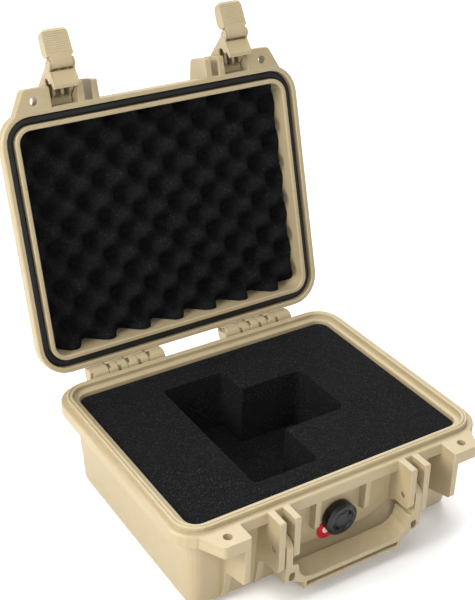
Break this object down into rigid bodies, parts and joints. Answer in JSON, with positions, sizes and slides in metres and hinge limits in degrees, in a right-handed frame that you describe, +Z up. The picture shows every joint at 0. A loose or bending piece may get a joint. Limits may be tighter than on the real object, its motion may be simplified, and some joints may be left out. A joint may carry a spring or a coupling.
{
  "type": "hard equipment case",
  "caption": "Small tan hard equipment case, lid open, with fitted foam, rubber gasket, double lever latches, folding handle, padlock ears and pressure valve.",
  "frame": {"origin": "centre of the flat underside, on the surface it stands on", "axes": "+Z up, -Y towards the front with the handle and latches, +X to the right seen from the front"},
  "size_m": [0.27, 0.333, 0.3454],
  "materials": {
    "tan_moulded_plastic": "fine moulded texture, satin",
    "black_rubber": "smooth, matte",
    "black_foam": "open-cell foam, matte",
    "black_plastic": "satin",
    "steel_pin": "plain steel pin",
    "red_print": "printed disc, satin"
  },
  "bodies": {
    "base": {"base_shell": "tan_moulded_plastic", "base_foam_block": "black_foam", "base_foam_pad": "black_foam", "hinge_pin_left": "steel_pin", "hinge_pin_right": "steel_pin", "handle_pin_left": "steel_pin", "handle_pin_right": "steel_pin", "valve_body": "black_plastic", "valve_cap": "black_plastic", "valve_nut": "black_plastic", "valve_o_ring": "black_rubber", "valve_membrane": "black_rubber", "valve_tag": "red_print"},
    "lid": {"lid_shell": "tan_moulded_plastic", "lid_gasket": "black_rubber", "lid_foam": "black_foam", "latch_pin_left": "steel_pin", "latch_pin_right": "steel_pin"},
    "handle": {"handle": "tan_moulded_plastic"},
    "latch_jaw_left": {"latch_jaw_left": "tan_moulded_plastic", "lever_pin_left": "steel_pin"},
    "latch_lever_left": {"latch_lever_left": "tan_moulded_plastic"},
    "latch_jaw_right": {"latch_jaw_right": "tan_moulded_plastic", "lever_pin_right": "steel_pin"},
    "latch_lever_right": {"latch_lever_right": "tan_moulded_plastic"}
  },
  "joints": [
    {"name": "lid_hinge", "type": "hinge", "parent": "base", "child": "lid", "pos_m": [0, 0.1137, 0.0777], "axis": [1, 0, 0], "range_deg": [0, 105]},
    {"name": "latch_jaw_left", "type": "hinge", "parent": "lid", "child": "latch_jaw_left", "pos_m": [-0.07825, 0.18973, 0.28571], "axis": [1, 0, 0], "range_deg": [0, 37]},
    {"name": "latch_lever_left", "type": "hinge", "parent": "latch_jaw_left", "child": "latch_lever_left", "pos_m": [-0.07825, 0.1783, 0.32145], "axis": [1, 0, 0], "range_deg": [0, 69.5]},
    {"name": "latch_jaw_right", "type": "hinge", "parent": "lid", "child": "latch_jaw_right", "pos_m": [0.07825, 0.18973, 0.28571], "axis": [1, 0, 0], "range_deg": [0, 37]},
    {"name": "latch_lever_right", "type": "hinge", "parent": "latch_jaw_right", "child": "latch_lever_right", "pos_m": [0.07825, 0.1783, 0.32145], "axis": [1, 0, 0], "range_deg": [0, 69.5]},
    {"name": "handle_hinge", "type": "hinge", "parent": "base", "child": "handle", "pos_m": [0, -0.114, 0.053], "axis": [-1, 0, 0], "range_deg": [0, 110]}
  ]
}
